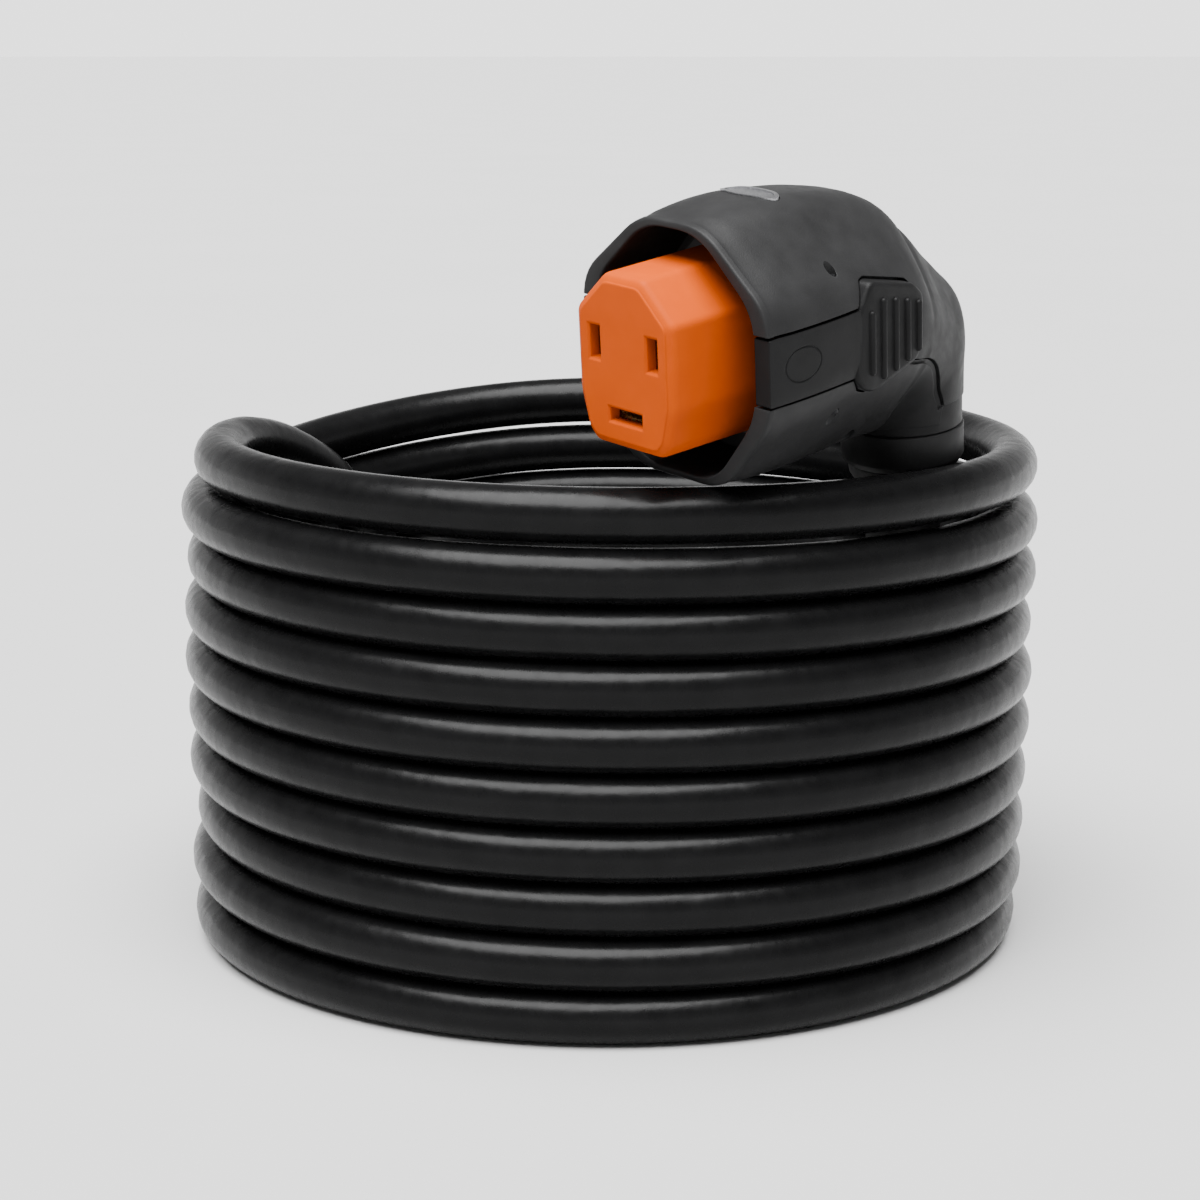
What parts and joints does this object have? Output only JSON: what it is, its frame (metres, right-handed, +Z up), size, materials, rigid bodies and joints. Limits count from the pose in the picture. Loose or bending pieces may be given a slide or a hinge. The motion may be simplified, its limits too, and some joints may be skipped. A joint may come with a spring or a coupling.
{
  "type": "shore power cord",
  "caption": "Coiled black vehicle shore power cord: angled twist-free connector with an orange face and two squeeze levers at one end, pedestal plug at the other.",
  "frame": {"origin": "on the floor, under the middle of the whole object's bounding box", "axes": "+Z up along the coil's axis; -Y towards the side the connector rests on; +X to that side's right"},
  "size_m": [0.2864, 0.3032, 0.2564],
  "materials": {
    "shell": "matt, fine moulded grain",
    "lever": "matt, fine moulded grain, ribbed pad",
    "badge": "satin, blank",
    "steel": "zinc plated",
    "orange_face": "satin",
    "brass": "bright",
    "rubber": "matt",
    "clamp": "matt",
    "cord": "semi-gloss flexible jacket",
    "plug": "matt",
    "plug_face": "matt",
    "wire_black": "gloss",
    "wire_white": "gloss",
    "wire_green": "gloss"
  },
  "bodies": {
    "cord": {"upper_shell": "shell", "lower_shell": "shell", "badge": "badge", "shell_screw_1": "steel", "shell_screw_2": "steel", "shell_screw_3": "steel", "shell_screw_4": "steel", "lever_pin_right": "steel", "lever_pin_left": "steel", "lever_spring_right": "steel", "lever_spring_left": "steel", "contact_carrier": "orange_face", "face_seal": "rubber", "contact_line": "brass", "contact_neutral": "brass", "contact_ground": "brass", "terminal_screw_line": "steel", "terminal_screw_neutral": "steel", "terminal_screw_ground": "steel", "conductor_black": "wire_black", "conductor_white": "wire_white", "conductor_green": "wire_green", "cord_clamp": "clamp", "clamp_screw_left": "steel", "clamp_screw_right": "steel", "gland_seal": "rubber", "neck_collar": "shell", "strain_relief": "rubber", "cord_end": "cord", "cord_coil": "cord", "cord_run": "cord", "cord_tail": "cord", "plug_strain_relief": "rubber", "plug_body": "plug", "plug_face": "plug_face", "plug_blade_line": "brass", "plug_blade_neutral": "brass", "plug_ground_pin": "brass"},
    "right_lever": {"lever_right": "lever"},
    "left_lever": {"lever_left": "lever"}
  },
  "joints": [
    {"name": "right_lever_hinge", "type": "hinge", "parent": "cord", "child": "right_lever", "pos_m": [0.06381, -0.12141, 0.21197], "axis": [-0.0443, -0.1768, 0.9833], "range_deg": [0, 6], "stiffness_Nm_per_rad": 0.6},
    {"name": "left_lever_hinge", "type": "hinge", "parent": "cord", "child": "left_lever", "pos_m": [0.02282, -0.07667, 0.21817], "axis": [0.0443, 0.1768, -0.9833], "range_deg": [0, 6], "stiffness_Nm_per_rad": 0.6}
  ]
}
